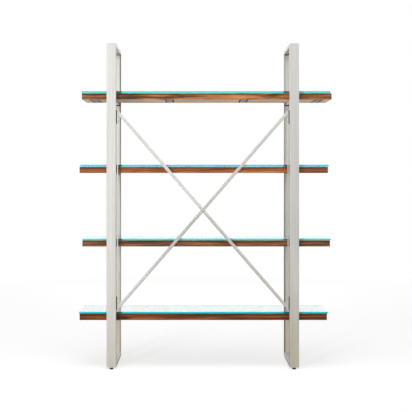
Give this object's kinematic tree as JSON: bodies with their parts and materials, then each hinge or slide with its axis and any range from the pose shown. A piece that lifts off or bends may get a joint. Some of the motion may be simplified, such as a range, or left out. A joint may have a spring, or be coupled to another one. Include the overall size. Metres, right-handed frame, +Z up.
{
  "type": "shelving unit",
  "caption": "Open etagere of steel loop side frames carrying thick wood boards topped with clear glass, braced by a steel X at the front, on levelling feet.",
  "frame": {"origin": "on the floor, below the middle of the whole unit", "axes": "+X along the shelves to the right seen from the front, +Y from front to rear, +Z up"},
  "size_m": [1.5858, 0.4064, 2.032],
  "materials": {
    "frame_steel": "satin, brushed along the tube",
    "brace_steel": "satin, brushed along the bar",
    "wood": "reclaimed hardwood, low sheen",
    "glass": "clear, polished blue-green edges",
    "bumper": "clear soft plastic",
    "batten": "mill finish",
    "fastener": "zinc plated",
    "stem": "zinc plated",
    "spacer": "matte black",
    "foot": "matte black"
  },
  "bodies": {
    "frame": {"batten_screws": "fastener", "board_battens_1": "batten", "board_battens_2": "batten", "board_battens_3": "batten", "board_battens_4": "batten", "board_screws": "fastener", "brace_bolts": "fastener", "brace_diagonal_falling": "brace_steel", "brace_diagonal_rising": "brace_steel", "brace_nuts": "fastener", "brace_side_bar_left": "brace_steel", "brace_side_bar_right": "brace_steel", "brace_spacer_bottom_left": "spacer", "brace_spacer_bottom_right": "spacer", "brace_spacer_top_left": "spacer", "brace_spacer_top_right": "spacer", "foot_inserts": "fastener", "glass_bumpers_1": "bumper", "glass_bumpers_2": "bumper", "glass_bumpers_3": "bumper", "glass_bumpers_4": "bumper", "glass_top_1": "glass", "glass_top_2": "glass", "glass_top_3": "glass", "glass_top_4": "glass", "left_bottom_rail": "frame_steel", "left_crossbar_1": "frame_steel", "left_crossbar_2": "frame_steel", "left_crossbar_3": "frame_steel", "left_crossbar_4": "frame_steel", "left_front_upright": "frame_steel", "left_rear_upright": "frame_steel", "left_top_rail": "frame_steel", "right_bottom_rail": "frame_steel", "right_crossbar_1": "frame_steel", "right_crossbar_2": "frame_steel", "right_crossbar_3": "frame_steel", "right_crossbar_4": "frame_steel", "right_front_upright": "frame_steel", "right_rear_upright": "frame_steel", "right_top_rail": "frame_steel", "wood_board_1": "wood", "wood_board_2": "wood", "wood_board_3": "wood", "wood_board_4": "wood"},
    "left_front_pad": {"left_front_foot_pad": "foot"},
    "left_front_stem": {"left_front_foot_stem": "stem"},
    "left_rear_pad": {"left_rear_foot_pad": "foot"},
    "left_rear_stem": {"left_rear_foot_stem": "stem"},
    "right_front_pad": {"right_front_foot_pad": "foot"},
    "right_front_stem": {"right_front_foot_stem": "stem"},
    "right_rear_pad": {"right_rear_foot_pad": "foot"},
    "right_rear_stem": {"right_rear_foot_stem": "stem"}
  },
  "joints": [
    {"name": "left_front_foot_slide", "type": "slide", "parent": "frame", "child": "left_front_pad", "axis": [0, 0, -1], "range_m": [0, 0.012]},
    {"name": "left_front_stem_turn", "type": "hinge", "parent": "left_front_pad", "child": "left_front_stem", "pos_m": [-0.58595, -0.1905, 0.009], "axis": [0, 0, -1], "range_deg": [0, 2880]},
    {"name": "left_rear_foot_slide", "type": "slide", "parent": "frame", "child": "left_rear_pad", "axis": [0, 0, -1], "range_m": [0, 0.012]},
    {"name": "left_rear_stem_turn", "type": "hinge", "parent": "left_rear_pad", "child": "left_rear_stem", "pos_m": [-0.58595, 0.1905, 0.009], "axis": [0, 0, -1], "range_deg": [0, 2880]},
    {"name": "right_front_foot_slide", "type": "slide", "parent": "frame", "child": "right_front_pad", "axis": [0, 0, -1], "range_m": [0, 0.012]},
    {"name": "right_front_stem_turn", "type": "hinge", "parent": "right_front_pad", "child": "right_front_stem", "pos_m": [0.55405, -0.1905, 0.009], "axis": [0, 0, -1], "range_deg": [0, 2880]},
    {"name": "right_rear_foot_slide", "type": "slide", "parent": "frame", "child": "right_rear_pad", "axis": [0, 0, -1], "range_m": [0, 0.012]},
    {"name": "right_rear_stem_turn", "type": "hinge", "parent": "right_rear_pad", "child": "right_rear_stem", "pos_m": [0.55405, 0.1905, 0.009], "axis": [0, 0, -1], "range_deg": [0, 2880]}
  ],
  "couplings": [
    {"joint": "left_front_stem_turn", "follows": "left_front_foot_slide", "rad_per_m": 4188.8},
    {"joint": "left_rear_stem_turn", "follows": "left_rear_foot_slide", "rad_per_m": 4188.8},
    {"joint": "right_front_stem_turn", "follows": "right_front_foot_slide", "rad_per_m": 4188.8},
    {"joint": "right_rear_stem_turn", "follows": "right_rear_foot_slide", "rad_per_m": 4188.8}
  ]
}
